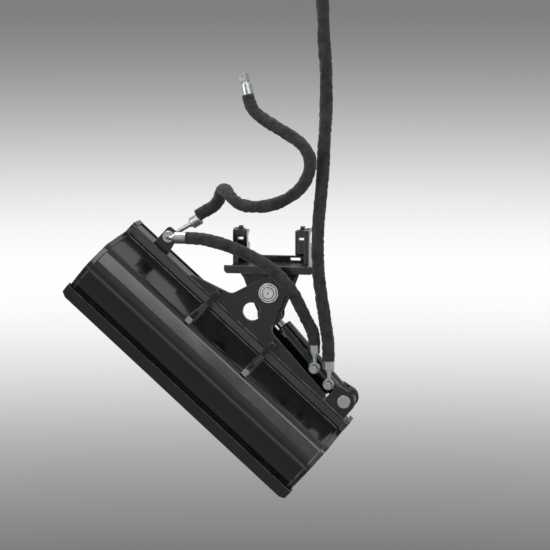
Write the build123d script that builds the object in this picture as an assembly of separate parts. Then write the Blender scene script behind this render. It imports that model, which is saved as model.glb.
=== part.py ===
from build123d import *
import os
from math import asin, atan2, cos, degrees, hypot, pi, radians, sin, tan

# Tilting grading bucket for a micro excavator, in millimetres.
# X runs along the bucket to its cylinder end, Y points away from the bucket's back, Z is up.
# The model is worked out about the pivot pin and moved at the end to the coupler seat.

# Stance in which the bucket is stored: right-hand end down by this many degrees.
tilt = 42.0

# Coupler head
seat_height = 141.0
seat_back = 35.0
seat_radius = 15.0
upright_outer = 103.0
upright_thickness = 13.0
upright_top = 167.0
upright_depth = 58.0
hook_gap = 15.0
hook_thickness = 9.5
hook_bottom = 94.0
cap_overhang = 6.0
cap_height = 19.0
window_height = 8.0
crossbar_length = 242.0
crossbar_height = 21.0
crossbar_thickness = 12.0
crossbar_bottom = 51.0
base_thickness = 8.0
rear_bar_thickness = 12.0
rear_bar_height = 26.0
slot_length = 29.0
slot_width = 8.0
slot_offset = 57.5
cap_bolt_radius = 6.0
cap_bolt_height = 9.0

# Tilting lug of the head
lug_thickness = 8.0
lug_gap = 36.0
lug_top_half = 80.0
lug_waist_half = 62.0
lug_waist_height = 15.0
lug_end_radius = 33.0
gusset_thickness = 10.0
gusset_run = 14.0
gusset_drop = 34.0

# Pivot pin and its bushes
pin_radius = 17.5
running = 0.05
bush_wall = 4.9
tube_wall = 3.5
bush_length = 22.0
pin_head_radius = 27.0
pin_head_steps = ((27.0, 4.0), (21.5, 2.5), (14.5, 2.5))
grease_hole_radius = 3.0
nut_across_flats = 46.0
nut_thickness = 18.0
washer_thickness = 4.0
thread_end = 4.0

# Pivot plates on the bucket
ear_gap = 58.0
ear_thickness = 12.0
front_top_radius = 44.0
rear_top_radius = 40.0
plate_corner = (72.0, -72.0)
left_wing_reach = 187.0
wing_clearance = 4.0
left_wing_rise = 7.0
right_wing_rise = 17.0
rear_foot_half = 56.0
relief_hole_drop = 69.0
relief_hole_radius = 24.6
rear_relief_radius = 32.0
rear_relief_drop = 80.0

# Bucket body
bucket_width = 790.0
side_thickness = 12.0
side_proud = 5.0
side_bend = 34.0
mouth_hollow = 16.0
shell_thickness = 6.0
beam_drop = 114.0
beam_height = 30.0
beam_wall = 5.0
beam_proud = 0.5
beam_corner = 6.0
beam_rear_corner = 14.0
lip_thickness = 6.0
lip_rise = 3.0
# Flats of the back from the beam down: lengths, slopes below the horizontal, and the bend
# at the upper end of each.
back_lengths = (146.0, 73.0, 51.0, 71.0)
back_slopes = (11.0, 59.6, 109.5, 119.4)
back_bends = (24.0, 32.0, 60.0, 80.0)
edge_width = 800.0
edge_thickness = 12.0
edge_height = 50.0
edge_overhang = 10.7
edge_bevel = 8.0
edge_clip_width = 26.0
edge_clip_rise = 18.0
rib_thickness = 16.0
rib_spacing = 202.0
rib_rise = 30.0
rib_proud = 14.0
rib_foot = 9.0
rib_foot_proud = 7.0
rib_seat = 5.0

# Tilt cylinder
base_pin_inset = 51.0
base_pin_drop = 78.0
rod_pin_drop = 60.0
barrel_radius = 25.0
bore_radius = 20.0
rod_radius = 11.0
gland_face = 258.6
gland_collar = 10.6
gland_depth = 26.0
base_pin_radius = 12.5
base_pin_head = 17.8
base_eye_radius = 26.0
base_eye_half = 26.0
rod_pin_radius = 10.0
rod_eye_radius = 20.0
rod_eye_half = 17.0
linkage_play = 13.0
pin_washer_radius = 29.5
pin_washer_thickness = 2.0
piston_width = 28.0
piston_from_rod_pin = 234.0
base_port = 62.0
middle_port = 119.5
gland_port = 243.0
port_face = 34.0
port_radius = 13.0
pipe_radius = 4.0
pipe_drop = 3.0
far_block = (14.0, 9.0)
middle_block = (22.0, 16.0)
bracket_inner = 41.0
bracket_outer = 31.0
bracket_radius = 30.0
bracket_shoulder = 56.0
lock_bolt_radius = 3.0
lock_bolt_hexagon = 6.0
lock_bolt_rise = 7.5
lock_tab_width = 12.0

# Hoses and their fittings
sleeve_radius = 16.5
ferrule_radius = 15.8
neck_radius = 6.0
banjo_radius = 15.0
banjo_thickness = 16.0
seal_thickness = 1.5
banjo_reach = 40.0
banjo_ferrule = 24.0
bulkhead_inset = 95.0
bulkhead_drop = 74.0
hose_plate_thickness = 8.0
hose_plate_front = -22.0
union_radius = 16.0
elbow_radius = 17.0
elbow_reach = 28.0
elbow_ferrule = 31.0
machine_ferrule = 30.0
machine_nut_radius = 14.0
machine_nut_length = 20.0

# Worked out from the sizes above
ear_inner = ear_gap / 2
ear_outer = ear_inner + ear_thickness
lug_inner = lug_gap / 2
lug_outer = lug_inner + lug_thickness
beam_front = -(ear_outer + beam_proud)
beam_rear = ear_inner
beam_top = -beam_drop
beam_bottom = beam_top - beam_height
inner_half = bucket_width / 2 - side_thickness
last_flat = len(back_lengths) - 1
base_pin_x = bucket_width / 2 - base_pin_inset
bracket_left = base_pin_x - bracket_inner
bracket_right = base_pin_x + bracket_outer
bulkhead_x = -bucket_width / 2 + bulkhead_inset
bush_radius = pin_radius + running + bush_wall
tube_radius = bush_radius + running + tube_wall
crossbar_top = crossbar_bottom + crossbar_height
crossbar_front = beam_front - beam_proud
crossbar_rear = crossbar_front + crossbar_thickness
right_wing_reach = bracket_left - wing_clearance
upright_front = seat_back - seat_radius - 26.0
upright_inner = upright_outer - upright_thickness
hook_outer = upright_inner - hook_gap
hook_inner = hook_outer - hook_thickness
base_rear = upright_front + upright_depth


def along_x(profile, low, length):
    """A sketch drawn in Y and Z, pushed towards +X from the plane x = low."""
    start = Plane(origin=(low, 0, 0), x_dir=(0, 1, 0), z_dir=(1, 0, 0))
    return extrude(start * profile, length)


def along_y(profile, low, length):
    """A sketch drawn in X and Z, pushed towards +Y from the plane y = low."""
    start = Plane(origin=(0, low, 0), x_dir=(1, 0, 0), z_dir=(0, -1, 0))
    return extrude(start * profile, -length)


def round_bar(x, z, radius, low, high):
    """A round bar along Y between two planes."""
    return along_y(Pos(x, z) * Circle(radius), low, high - low)


def outline(*points):
    """A closed flat shape through the points."""
    return make_face(Polyline(*points, close=True))


def mirrored(shape):
    """The same piece on the other side of the middle plane x = 0."""
    return mirror(shape, about=Plane.YZ)


def unit(start, end):
    """Direction from one point to another."""
    return (Vector(*end) - Vector(*start)).normalized()


# Placing: bucket pieces are drawn level about the pivot, cylinder pieces about the base pin
# with +X towards the rod end.
to_seat = Pos(0, -seat_back, -seat_height)
bucket_place = to_seat * Rot(0, tilt, 0)
base_pin = Vector(base_pin_x, 0, -base_pin_drop)
rod_pin_level = Rot(0, -tilt, 0) * Pos(0, 0, -rod_pin_drop)
rod_pin = rod_pin_level.position
cylinder_length = (rod_pin - base_pin).length
lean = degrees(atan2(rod_pin.Z - base_pin.Z, base_pin.X - rod_pin.X))
cylinder_level = Pos(*base_pin) * Rot(0, 180 + lean, 0)
cylinder_place = bucket_place * cylinder_level


def write(name, shape, place=to_seat):
    """Save one piece under its own name, in the frame of the coupler seat."""
    export_step(place * shape, f"parts/{name}.step")


def back_point(flat, along, out=0.0):
    """A point on one flat of the bucket's back, and how far it stands out from it."""
    y, z = beam_front, beam_bottom
    for length, slope in zip(back_lengths[:flat], back_slopes):
        y, z = y - length * cos(radians(slope)), z - length * sin(radians(slope))
    slope = radians(back_slopes[flat])
    y, z = y - along * cos(slope), z - along * sin(slope)
    return (y - out * sin(slope), z + out * cos(slope))


def back_line():
    """Corners of the outside of the back, from the mouth over the bends to its lower end."""
    corners = [back_point(flat, 0) for flat in range(len(back_lengths))]
    return [(beam_rear, beam_bottom), *corners, back_point(last_flat, back_lengths[last_flat])]


def bucket_shell():
    """Folded plate: a flange under the beam and four flats joined by rolled bends."""
    outside = FilletPolyline(*back_line(), radius=list(back_bends))
    section = make_face(offset(outside, shell_thickness, side=Side.LEFT))
    return along_x(section, -inner_half, 2 * inner_half)


def cutting_edge():
    """Flat bar lapped on the outside of the last flat: clipped corners, bevelled lower edge."""
    y, z = back_point(last_flat, back_lengths[last_flat] + edge_overhang)
    slope = radians(back_slopes[last_flat])
    upwards = Vector(0, cos(slope), sin(slope))
    outwards = Vector(0, -sin(slope), cos(slope))
    half, clipped = edge_width / 2, edge_width / 2 - edge_clip_width
    face = outline(
        (-half, edge_height), (half, edge_height), (half, edge_clip_rise), (clipped, 0),
        (-clipped, 0), (-half, edge_clip_rise),
    )
    bar = extrude(Plane(origin=(0, y, z), x_dir=(1, 0, 0), z_dir=outwards) * face, edge_thickness)
    long_edges = bar.edges().filter_by(Axis.X)
    lowest = long_edges.sort_by(lambda e: e.center().dot(outwards - upwards))[-1]
    return chamfer(lowest, edge_bevel)


def side_plate():
    """Left end of the bucket, a little proud of the back all round and hollowed at the mouth."""
    tip_reach = back_lengths[last_flat] + edge_overhang - edge_clip_rise - side_proud
    tip = back_point(last_flat, tip_reach, -2)
    lip_y = beam_rear + lip_thickness
    corners = [(lip_y, beam_top), (beam_front, beam_top), *back_line()[1:-1], tip]
    rim = offset(outline(*corners, (lip_y, beam_bottom - shell_thickness)), side_proud,
                 kind=Kind.INTERSECTION)
    high = [v for v in rim.vertices() if v.Y > beam_top]
    rim = fillet(high, 13)
    bends = [v for v in rim.vertices() if v.X < beam_front - 2 * side_proud and v.Y > tip[1] + 20]
    rim = fillet(bends, side_bend)
    top_y, top_z = lip_y + side_proud, beam_bottom - shell_thickness
    middle_y, middle_z = (top_y + tip[0]) / 2, (top_z + tip[1]) / 2
    chord = hypot(top_y - tip[0], top_z - tip[1])
    hollow_radius = (chord ** 2 / 4 + mouth_hollow ** 2) / (2 * mouth_hollow)
    away = hollow_radius - mouth_hollow
    across = ((top_z - tip[1]) / chord, -(top_y - tip[0]) / chord)
    centre = (middle_y + across[0] * away, middle_z + across[1] * away)
    rim -= Pos(*centre) * Circle(hollow_radius)
    plate = along_x(rim, -bucket_width / 2, side_thickness) - cutting_edge()
    return plate.solids().sort_by(SortBy.VOLUME)[-1]


def top_beam():
    """Rectangular tube on the shell's flange, softer at its upper rear edge."""
    depth = beam_rear - beam_front
    middle = ((beam_rear + beam_front) / 2, (beam_top + beam_bottom) / 2)
    tube = Rectangle(depth, beam_height)
    rear_top = tube.vertices().sort_by(Axis.X)[-2:].sort_by(Axis.Y)[-1]
    tube = fillet(rear_top, beam_rear_corner)
    fronts = tube.vertices().sort_by(Axis.X)[:2]
    tube = fillet(fronts, beam_corner)
    inside = offset(tube, -beam_wall)
    return along_x(Pos(*middle) * (tube - inside), -inner_half, 2 * inner_half)


def mouth_lip():
    """Strips behind the beam and the flange, broken for the pivot plate and the cylinder ear."""
    height = beam_height + shell_thickness + lip_rise
    spans = ((-inner_half, -rear_foot_half - 6), (rear_foot_half + 6, bracket_left - 10))
    strips = []
    for low, high in spans:
        strip = Pos((low + high) / 2, 0, beam_top + lip_rise - height / 2) * Box(
            high - low, lip_thickness, height)
        strip = Pos(0, beam_rear + lip_thickness / 2, 0) * strip
        strips.append(fillet(strip.edges().filter_by(Axis.X).group_by(Axis.Z)[-1], 2))
    return Compound(children=strips)


def rib(side):
    """Thick strap from above the beam's front down to just past the first bend."""
    first = back_lengths[0]
    section = outline(
        (beam_front, beam_top + rib_rise),
        (beam_front - 13, beam_top + rib_rise - 2),
        back_point(0, 19, rib_proud),
        back_point(0, first - 3, rib_proud - 1),
        back_point(1, rib_foot - 3, rib_foot_proud),
        back_point(1, rib_foot),
        back_point(1, 0, -rib_seat),
        (beam_front, beam_bottom),
    )
    corners = [v for v in section.vertices() if v.X < beam_front - 5 and v.Y > beam_top]
    section = fillet(corners, 7)
    body = along_x(section, side * rib_spacing / 2 - rib_thickness / 2, rib_thickness)
    outer = [e for e in body.edges() if e.center().Y < beam_front - 4]
    long_ones = [e for e in outer if abs(e.tangent_at(0.5).X) < 0.1 and e.length > 20]
    front = [e for e in long_ones if not on_back(e.center())]
    trimmed = chamfer(front, 1.5) - bucket_shell()
    return trimmed.solids().sort_by(SortBy.VOLUME)[-1]


def on_back(point):
    """Whether a point lies within the plate of the bucket's first two flats."""
    for flat in (0, 1):
        slope = radians(back_slopes[flat])
        y, z = back_point(flat, 0)
        out = (point.Z - z) * cos(slope) - (point.Y - y) * sin(slope)
        if abs(out) < shell_thickness:
            return True
    return False


def wing_outline(left, right):
    """Front pivot plate seen from the back: a round top, straight shoulders and two long wings."""
    half, low = plate_corner
    top_angle = radians(12)
    tangent = (front_top_radius * cos(top_angle), front_top_radius * sin(top_angle))
    body = outline(
        (-left, beam_top), (-left, beam_top + left_wing_rise), (-half, low),
        (-tangent[0], tangent[1]), tangent, (half, low), (right, beam_top + right_wing_rise),
        (right, beam_top),
    )
    inner = [v for v in body.vertices() if abs(abs(v.X) - half) < 1 and abs(v.Y - low) < 1]
    body = fillet(inner, 22)
    for side, reach, rise in ((-1, left, left_wing_rise), (1, right, right_wing_rise)):
        tip = [v for v in body.vertices() if side * v.X > reach - 1 and v.Y > beam_top + 2]
        body = fillet(tip, rise * 0.6)
    return body + Circle(front_top_radius)


def front_pivot_plate():
    """Plate on the beam's front edge with the pin bore and a round relief hole."""
    flat = wing_outline(left_wing_reach, right_wing_reach)
    flat -= Circle(pin_radius + running)
    flat -= Pos(0, -relief_hole_drop) * Circle(relief_hole_radius)
    return along_y(flat, -ear_outer, ear_thickness)


def rear_pivot_plate():
    """Narrower plate welded to the rear face of the beam."""
    foot = beam_bottom - shell_thickness
    flat = outline(
        (-rear_foot_half, foot), (-rear_foot_half + 4, beam_top + 34), (-rear_top_radius, 6),
        (rear_top_radius, 6), (rear_foot_half - 4, beam_top + 34), (rear_foot_half, foot),
    )
    flat += Circle(rear_top_radius)
    flat -= Circle(pin_radius + running)
    flat -= Pos(0, -rear_relief_drop) * Circle(rear_relief_radius)
    return along_y(flat, ear_inner, ear_thickness)


def pivot_pin():
    """Pin with a stepped round head in front, a grease hole and a threaded rear end."""
    body = round_bar(0, 0, pin_radius, -ear_outer, ear_outer + washer_thickness + nut_thickness
                     + thread_end)
    face = -ear_outer
    for radius, thickness in pin_head_steps:
        step = round_bar(0, 0, radius, face - thickness, face)
        body += chamfer(step.edges().group_by(Axis.Y)[0], 0.8)
        face -= thickness
    return body - round_bar(0, 0, grease_hole_radius, face - 1, face + 12)


def pivot_nut():
    """Washer and hexagon nut behind the rear plate."""
    washer = Circle(pin_head_radius) - Circle(pin_radius + running)
    nut = RegularPolygon(nut_across_flats / 2, 6, major_radius=False) - Circle(
        pin_radius + running)
    nut_solid = along_y(nut, ear_outer + washer_thickness, nut_thickness)
    return Compound(children=[along_y(washer, ear_outer, washer_thickness), nut_solid])


def bracket_ear(low, foot):
    """One ear of the cylinder bracket: square shoulder towards the rod, round over the pin."""
    flat = outline(
        (bracket_left, foot), (bracket_left, -bracket_shoulder - 4),
        (bracket_left + 6, -bracket_shoulder + 2),
        (base_pin_x - 6, -base_pin_drop + bracket_radius - 0.7),
        (base_pin_x, -base_pin_drop), (base_pin_x + bracket_radius, -base_pin_drop),
        (bracket_right, foot),
    )
    flat += Pos(base_pin_x, -base_pin_drop) * Circle(bracket_radius)
    flat -= Pos(base_pin_x, -base_pin_drop) * Circle(base_pin_radius + running)
    return along_y(flat, low, ear_thickness)


def bracket_ear_front():
    """Front ear, with a small drilled tab on top for the bolt that locks the pin."""
    ear = bracket_ear(-ear_outer, beam_top)
    top = -base_pin_drop + bracket_radius
    middle = -ear_outer + ear_thickness / 2
    tab_height = lock_bolt_rise + lock_bolt_radius + 7
    tab = Box(lock_tab_width, ear_thickness, tab_height)
    ear += Pos(base_pin_x - 3, middle, top - 4 + tab_height / 2) * tab
    hole = Rot(0, 90, 0) * Cylinder(lock_bolt_radius + running, 40)
    ear -= Pos(base_pin_x - 3, middle, top + lock_bolt_rise) * hole
    return ear - round_bar(base_pin_x, -base_pin_drop, base_pin_radius + running, -60, 0)


def pin_lock_bolt():
    """Small bolt through the tab, with its nut."""
    top = -base_pin_drop + bracket_radius
    middle = -ear_outer + ear_thickness / 2
    centre = Pos(base_pin_x - 3, middle, top + lock_bolt_rise) * Rot(0, 90, 0)
    half = lock_tab_width / 2
    shank = centre * Cylinder(lock_bolt_radius, lock_tab_width + 15)
    head = centre * Pos(0, 0, -half - 4) * extrude(RegularPolygon(lock_bolt_hexagon, 6), 4)
    nut = centre * Pos(0, 0, half) * extrude(RegularPolygon(lock_bolt_hexagon, 6), 5)
    return shank + head + nut


def cylinder_base_pin():
    """Headed pin through both ears and the cylinder's eye."""
    pin = round_bar(base_pin_x, -base_pin_drop, base_pin_radius, -ear_outer, ear_outer + 6)
    head = round_bar(base_pin_x, -base_pin_drop, base_pin_head, -ear_outer - 6, -ear_outer)
    head = chamfer(head.edges().group_by(Axis.Y)[0], 1.2)
    tail = round_bar(base_pin_x, -base_pin_drop, base_pin_head, ear_outer + 0.5, ear_outer + 6)
    return pin + head + tail


def hose_plate():
    """Tapered upright on the beam that holds the bulkhead union."""
    foot_half, head_half, rise = 29.0, 20.0, 20.0
    top = -bulkhead_drop + rise
    flat = outline(
        (bulkhead_x - foot_half + 8, beam_top), (bulkhead_x - head_half, top),
        (bulkhead_x + head_half - 4, top), (bulkhead_x + foot_half, beam_top),
    )
    flat = fillet([v for v in flat.vertices() if v.Y > beam_top + 5], 9)
    flat -= Pos(bulkhead_x, -bulkhead_drop) * Circle(union_radius * 0.62 + running)
    return along_y(flat, hose_plate_front, hose_plate_thickness)


def bulkhead_union():
    """Threaded union through the upright with a hexagon on each side of it."""
    stem = union_radius * 0.62
    rear = hose_plate_front + hose_plate_thickness
    body = round_bar(bulkhead_x, -bulkhead_drop, stem, hose_plate_front - 9, rear + 9)
    for low in (hose_plate_front - 5, rear):
        hexagon = Pos(bulkhead_x, -bulkhead_drop) * RegularPolygon(union_radius * 0.9, 6)
        body += along_y(hexagon, low, 5)
    return body


def swept_round(points, bend, radius):
    """A round bar along straight runs with equal bends."""
    path = FilletPolyline(*points, radius=bend)
    start = Plane(origin=points[0], z_dir=path % 0)
    return sweep(start * Circle(radius), path=path)


def hose_end(start, facing, towards, reach, ferrule):
    """Swept elbow: a nut on the union, a bent neck, and the ferrule that grips the hose."""
    facing, towards = Vector(*facing), Vector(*towards)
    nut_start = start
    nut_end = nut_start + facing * 12
    corner = nut_end + facing * elbow_radius
    crimp = corner + towards * reach
    nut = Plane(origin=nut_start, z_dir=facing) * Circle(union_radius)
    body = chamfer(extrude(nut, 12).edges().filter_by(GeomType.CIRCLE), 1.2)
    body += swept_round([nut_end - facing * 4, corner, crimp], elbow_radius * 0.95, neck_radius)
    collar = Plane(origin=crimp - towards * 6, z_dir=towards) * Circle(neck_radius * 1.6)
    body += extrude(collar, 6)
    cup = extrude(Plane(origin=crimp, z_dir=towards) * Circle(ferrule_radius), ferrule)
    body += chamfer(cup.edges().filter_by(GeomType.CIRCLE), 1.0)
    return body, crimp + towards * ferrule


def banjo(port):
    """Banjo eye lying on a port, with its neck and ferrule pointing up."""
    face = -port_face - seal_thickness
    eye = round_bar(port.X, port.Z, banjo_radius, face - banjo_thickness, face)
    eye = chamfer(eye.edges().filter_by(GeomType.CIRCLE), 1.5)
    middle = face - banjo_thickness / 2
    crimp = Vector(port.X, middle, port.Z + banjo_reach)
    up = Vector(0, 0, 1)
    neck = Plane(origin=(port.X, middle, port.Z + 5), z_dir=up) * Circle(neck_radius)
    eye += extrude(neck, banjo_reach - 5)
    collar = Plane(origin=crimp - up * 7, z_dir=up) * Circle(neck_radius * 1.6)
    eye += extrude(collar, 7)
    cup = extrude(Plane(origin=crimp, z_dir=up) * Circle(ferrule_radius), banjo_ferrule)
    eye += chamfer(cup.edges().filter_by(GeomType.CIRCLE), 1.0)
    eye -= round_bar(port.X, port.Z, neck_radius + 0.6, face - banjo_thickness - 1, face + 1)
    return eye, crimp + up * banjo_ferrule


def machine_end(start, towards):
    """Ferrule and swivel nut at the end of a hose that goes to the machine."""
    towards = towards.normalized()
    cup = extrude(Plane(origin=start, z_dir=towards) * Circle(ferrule_radius), machine_ferrule)
    body = chamfer(cup.edges().filter_by(GeomType.CIRCLE), 1.0)
    neck = start + towards * machine_ferrule
    body += extrude(Plane(origin=neck, z_dir=towards) * Circle(neck_radius * 1.6), 8)
    nut = neck + towards * 8
    hexagon = Plane(origin=nut, z_dir=towards) * RegularPolygon(machine_nut_radius, 6)
    hexagon -= Plane(origin=nut, z_dir=towards) * Circle(neck_radius * 1.2)
    body += extrude(Plane(origin=nut, z_dir=towards) * Circle(neck_radius * 1.6), 6)
    return body + extrude(hexagon, machine_nut_length)


def hose(name, points):
    """Sleeved hose along straight runs, each bend as wide as its two runs allow."""
    points = [Vector(*p) for p in points]
    radii = []
    for before, here, after in zip(points, points[1:], points[2:]):
        turn = (here - before).get_angle(after - here)
        shorter = min((here - before).length, (after - here).length)
        radii.append(0.45 * shorter / tan(radians(turn) / 2))
    path = FilletPolyline(*points, radius=radii)
    print(name, "length", round(path.length), "radii", [round(r) for r in radii])
    start = Plane(origin=points[0], z_dir=path % 0)
    tube = sweep(start * Circle(sleeve_radius), path=path)
    true_volume = pi * sleeve_radius ** 2 * path.length
    print(name, "volume against section times length", round(tube.volume / true_volume, 4))
    return tube


def c_notch(profile):
    """Open the round coupler seat in a plate drawn in Y and Z, with its way out to the rear."""
    seat = Pos(seat_back, seat_height) * Circle(seat_radius)
    way_out = Pos(seat_back + 50, seat_height) * Rectangle(100, 2 * seat_radius)
    return profile - seat - way_out


def upright():
    """Right-hand outer plate of the coupler head."""
    rear = upright_front + upright_depth
    flat = outline(
        (upright_front, crossbar_top), (upright_front, upright_top), (rear - 8, upright_top),
        (rear, upright_top - 8), (rear, crossbar_top),
    )
    front_top = flat.vertices().sort_by(Axis.X)[:2].sort_by(Axis.Y)[-1]
    return along_x(c_notch(fillet(front_top, 10)), upright_inner, upright_thickness)


def hook_plate():
    """Right-hand inner plate, which hangs from the claw blocks with a round lower end."""
    rear = upright_front + upright_depth - 6
    front = upright_front + 4
    flat = outline(
        (front, hook_bottom + 8), (front, upright_top - 4), (rear - 12, upright_top - 4),
        (rear, upright_top - 14), (rear, hook_bottom + 16), (rear - 16, hook_bottom),
        (front + 8, hook_bottom),
    )
    return along_x(c_notch(flat), hook_inner, hook_thickness)


def claw_seat():
    """Right-hand lower claw block between the two plates, which carries the coupler bar."""
    rear = upright_front + upright_depth - 6
    front = upright_front + 4
    top = seat_height - window_height / 2
    flat = outline(
        (front, hook_bottom + 8), (front, top), (rear, top), (rear, hook_bottom + 16),
        (rear - 16, hook_bottom), (front + 8, hook_bottom),
    )
    return along_x(c_notch(flat), hook_outer, hook_gap)


def claw_cap():
    """Right-hand upper claw block, chamfered towards the middle and reaching past its plate."""
    front = upright_front + 4
    rear = upright_front + upright_depth - 18
    bottom = seat_height + window_height / 2
    flat = outline((front, bottom), (front, upright_top - 1), (rear, upright_top - 1),
                   (rear, bottom))
    return along_x(c_notch(flat), hook_outer, hook_gap)


def cap_bolts():
    """Square-headed lock screws on top of the two claws."""
    top = upright_top - 1
    bolts = []
    for side in (-1, 1):
        x = side * (upright_inner - cap_bolt_radius - 0.3)
        bolt = Pos(x, upright_front + 20, top + cap_bolt_height / 2) * Box(
            2 * cap_bolt_radius, 2 * cap_bolt_radius, cap_bolt_height)
        bolts.append(chamfer(bolt.edges().group_by(Axis.Z)[-1], 1.5))
    return Compound(children=bolts)


def front_crossbar():
    """Bar across the front of the head with clipped lower corners."""
    half, clip = crossbar_length / 2, 7.0
    flat = outline(
        (-half, crossbar_top), (half, crossbar_top), (half, crossbar_bottom + clip),
        (half - clip, crossbar_bottom), (-half + clip, crossbar_bottom),
        (-half, crossbar_bottom + clip),
    )
    bar = along_y(flat, crossbar_front, crossbar_thickness)
    return chamfer(bar.edges().group_by(Axis.Y)[0], 1.0)


def base_plate():
    """Flat plate that joins the crossbars, the uprights and the lug."""
    depth = base_rear - crossbar_rear
    middle = (base_rear + crossbar_rear) / 2
    plate = Pos(0, middle, crossbar_top - base_thickness / 2) * Box(
        2 * upright_outer, depth, base_thickness)
    window = Pos(0, middle + 14, crossbar_top - base_thickness / 2) * Box(70, 26, 40)
    return plate - fillet(window.edges().filter_by(Axis.Z), 10)


def rear_crossbar():
    """Bar across the back of the head with a long slot towards each end."""
    half = upright_outer - 8
    low = crossbar_top - base_thickness
    flat = Pos(0, low + rear_bar_height / 2) * Rectangle(2 * half, rear_bar_height)
    flat = fillet(flat.vertices().group_by(Axis.Y)[-1], 6)
    for side in (-1, 1):
        flat -= Pos(side * slot_offset, crossbar_top + 9) * SlotOverall(slot_length, slot_width)
    return along_y(flat, base_rear, rear_bar_thickness)


def lug_plate():
    """Front plate of the tilting lug: wide under the base, narrowing to the rod pin."""
    top = crossbar_top - base_thickness
    side = degrees(atan2(lug_waist_height + rod_pin_drop, lug_waist_half))
    reach = hypot(lug_waist_height + rod_pin_drop, lug_waist_half)
    touch = radians(side - degrees(asin(lug_end_radius / reach)) - 90 + 0)
    tangent = (lug_end_radius * cos(touch), -rod_pin_drop + lug_end_radius * sin(touch))
    flat = outline(
        (-lug_top_half, top), (-lug_waist_half, lug_waist_height), (-tangent[0], tangent[1]),
        (0, -rod_pin_drop), tangent, (lug_waist_half, lug_waist_height), (lug_top_half, top),
    )
    flat += Pos(0, -rod_pin_drop) * Circle(lug_end_radius)
    flat -= Circle(tube_radius + running)
    flat -= Pos(0, -rod_pin_drop) * Circle(rod_pin_radius + linkage_play)
    return along_y(flat, -lug_outer, lug_thickness)


def gussets():
    """Small corner plates between the front crossbar and the lug."""
    plates = []
    for side in (-1, 1):
        half = lug_top_half - 6
        flat = outline(
            (side * half, crossbar_top - base_thickness),
            (side * (half + gusset_run), crossbar_top - base_thickness),
            (side * (half - 10), crossbar_top - base_thickness - gusset_drop),
            (side * (half - 22), crossbar_top - base_thickness - gusset_drop),
        )
        low = -lug_outer - 4.0
        plates.append(along_y(flat, low, 4.0))
    return Compound(children=plates)


def pivot_tube():
    """Tube through both lug plates that holds the bushes."""
    ring = Circle(tube_radius) - Circle(bush_radius + running)
    return along_y(ring, -lug_outer, 2 * lug_outer)


def pivot_bushes():
    """Two plain bushes, one pressed in from each side with grease between them."""
    sleeve = Circle(bush_radius) - Circle(pin_radius + running)
    return Compound(children=[along_y(sleeve, low, bush_length)
                              for low in (-lug_outer, lug_outer - bush_length)])


def barrel_tube():
    """Honed tube between the base cap and the gland's collar."""
    length = gland_face - gland_collar - base_eye_radius - 10
    ring = Circle(barrel_radius) - Circle(bore_radius)
    tube = extrude(Plane(origin=(base_eye_radius + 10, 0, 0), z_dir=(1, 0, 0)) * ring, length)
    return tube


def base_eye():
    """Forged eye with the round cap that closes the barrel."""
    eye = round_bar(0, 0, base_eye_radius, -base_eye_half, base_eye_half)
    start = Plane(origin=(base_eye_radius - 8, 0, 0), z_dir=(1, 0, 0))
    eye += extrude(start * Circle(barrel_radius), 18)
    return eye - round_bar(0, 0, base_pin_radius + running + 3, -60, 60)


def bush(radius, wall, half):
    """Plain bush about the cylinder's own origin."""
    return along_y(Circle(radius + wall) - Circle(radius + running), -half, 2 * half)


def gland():
    """Rod guide: a collar outside the barrel and a body inside it."""
    inside = Plane(origin=(gland_face - gland_collar - gland_depth, 0, 0), z_dir=(1, 0, 0))
    outside = Plane(origin=(gland_face - gland_collar, 0, 0), z_dir=(1, 0, 0))
    body = extrude(inside * Circle(bore_radius - running), gland_depth)
    collar = extrude(outside * Circle(barrel_radius), gland_collar)
    body += chamfer(collar.edges().group_by(Axis.X)[-1], 2.0)
    body -= extrude(inside * Circle(rod_radius + running), 60)
    mouth = Plane(origin=(gland_face - 5, 0, 0), z_dir=(1, 0, 0))
    return body - extrude(mouth * Circle(rod_radius + 3.5), 10)


def wiper_seal():
    """Scraper ring in the gland's mouth."""
    mouth = Plane(origin=(gland_face - 5, 0, 0), z_dir=(1, 0, 0))
    ring = Circle(rod_radius + 3.4) - Circle(rod_radius + running)
    return extrude(mouth * ring, 6)


def port_blocks():
    """Welded blocks for the two hoses and for the far end of the transfer pipe."""
    barrel = Pos(0, 0, 0) * Rot(0, 90, 0) * Cylinder(barrel_radius, 900)
    base = round_bar(base_port, 0, port_radius, -port_face, -6) - barrel
    middle = round_bar(middle_port, 0, port_radius, -port_face, -6)
    middle += Pos(middle_port + 8, -20, pipe_drop - 3) * Box(middle_block[0], 28, middle_block[1])
    far = Pos(gland_port - 4, -19, pipe_drop) * Box(far_block[0], 30, far_block[1])
    blocks = []
    for block, drilled in ((base, base_port), (middle - barrel, middle_port), (far - barrel, 0)):
        if drilled:
            block = block - round_bar(drilled, 0, neck_radius + running, -60, -6)
        outer = [s for s in block.solids() if s.center().Y < -20]
        blocks.append(max(outer, key=lambda s: s.volume))
    return Compound(children=blocks)


def transfer_pipe():
    """Steel pipe that takes oil from the middle port to the rod end of the barrel."""
    low, high = middle_port + 19, gland_port - 11
    start = Plane(origin=(low, -barrel_radius - pipe_radius - 0.5, pipe_drop), z_dir=(1, 0, 0))
    return extrude(start * Circle(pipe_radius), high - low)


def rod():
    """Chromed rod from the piston to the eye."""
    start = cylinder_length - piston_from_rod_pin + piston_width / 2
    length = cylinder_length - rod_eye_radius + 4 - start
    bar = extrude(Plane(origin=(start, 0, 0), z_dir=(1, 0, 0)) * Circle(rod_radius), length)
    eye = Pos(cylinder_length, 0, 0) * Rot(90, 0, 0) * Cylinder(rod_eye_radius, 80)
    return bar - eye


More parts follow.
